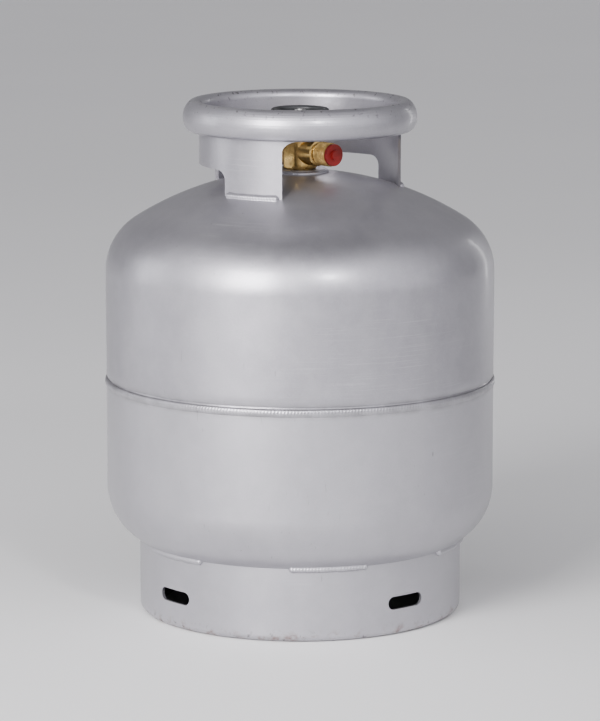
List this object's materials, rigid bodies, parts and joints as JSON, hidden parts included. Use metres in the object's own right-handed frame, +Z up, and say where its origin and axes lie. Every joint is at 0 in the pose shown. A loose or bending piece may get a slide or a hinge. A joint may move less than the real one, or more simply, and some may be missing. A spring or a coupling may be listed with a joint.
{
  "type": "propane tank",
  "caption": "Squat refillable steel LPG cylinder in satin silver paint, with girth weld, rolled-rim collar, hand-wheel valve and foot ring.",
  "frame": {"origin": "centre of the foot ring on the floor, on the vessel axis", "axes": "+Z up the vessel axis, gas outlet towards -Y, +X to the right of someone facing the outlet"},
  "size_m": [0.3629, 0.363, 0.476],
  "materials": {
    "silver_paint": "satin",
    "plate_alloy": "satin",
    "brass": "satin",
    "bright_steel": "satin",
    "black_rubber": "matte",
    "wheel_plastic": "satin",
    "plug_plastic": "satin"
  },
  "bodies": {
    "cylinder": {"upper_shell": "silver_paint", "lower_shell": "silver_paint", "girth_weld": "silver_paint", "valve_boss": "silver_paint", "boss_weld": "silver_paint", "collar": "silver_paint", "collar_welds": "silver_paint", "data_plate": "plate_alloy", "plate_rivets": "plate_alloy", "foot_ring": "silver_paint", "foot_ring_welds": "silver_paint", "valve_body": "brass", "bonnet": "brass", "bonnet_seal": "plate_alloy", "outlet_seal": "black_rubber", "relief_spring": "bright_steel", "relief_adjuster": "brass"},
    "handwheel": {"handwheel": "wheel_plastic", "handwheel_washer": "bright_steel", "handwheel_nut": "bright_steel", "spindle": "bright_steel", "spindle_o_rings": "black_rubber"},
    "seat": {"seat_carrier": "brass", "seat_disc": "black_rubber"},
    "relief_poppet": {"relief_poppet": "brass", "relief_seal": "black_rubber"},
    "outlet_plug": {"outlet_plug": "plug_plastic"},
    "relief_cap": {"relief_cap": "plug_plastic"}
  },
  "joints": [
    {"name": "handwheel_turn", "type": "hinge", "parent": "cylinder", "child": "handwheel", "pos_m": [0, 0, 0.46], "axis": [0, 0, 1], "range_deg": [0, 810]},
    {"name": "seat_lift", "type": "slide", "parent": "handwheel", "child": "seat", "axis": [0, 0, 1], "range_m": [0, 0.0034]},
    {"name": "relief_lift", "type": "slide", "parent": "cylinder", "child": "relief_poppet", "axis": [0, 1, 0], "range_m": [0, 0.0025], "stiffness_N_per_m": 300, "springref_m": -0.003, "deforming": ["relief_spring"]},
    {"name": "outlet_plug_pull", "type": "slide", "parent": "cylinder", "child": "outlet_plug", "axis": [0, -1, 0], "range_m": [0, 0.085]},
    {"name": "relief_cap_pull", "type": "slide", "parent": "cylinder", "child": "relief_cap", "axis": [0, 1, 0], "range_m": [0, 0.03]}
  ],
  "couplings": [
    {"joint": "seat_lift", "follows": "handwheel_turn", "m_per_rad": 0.00023873}
  ]
}
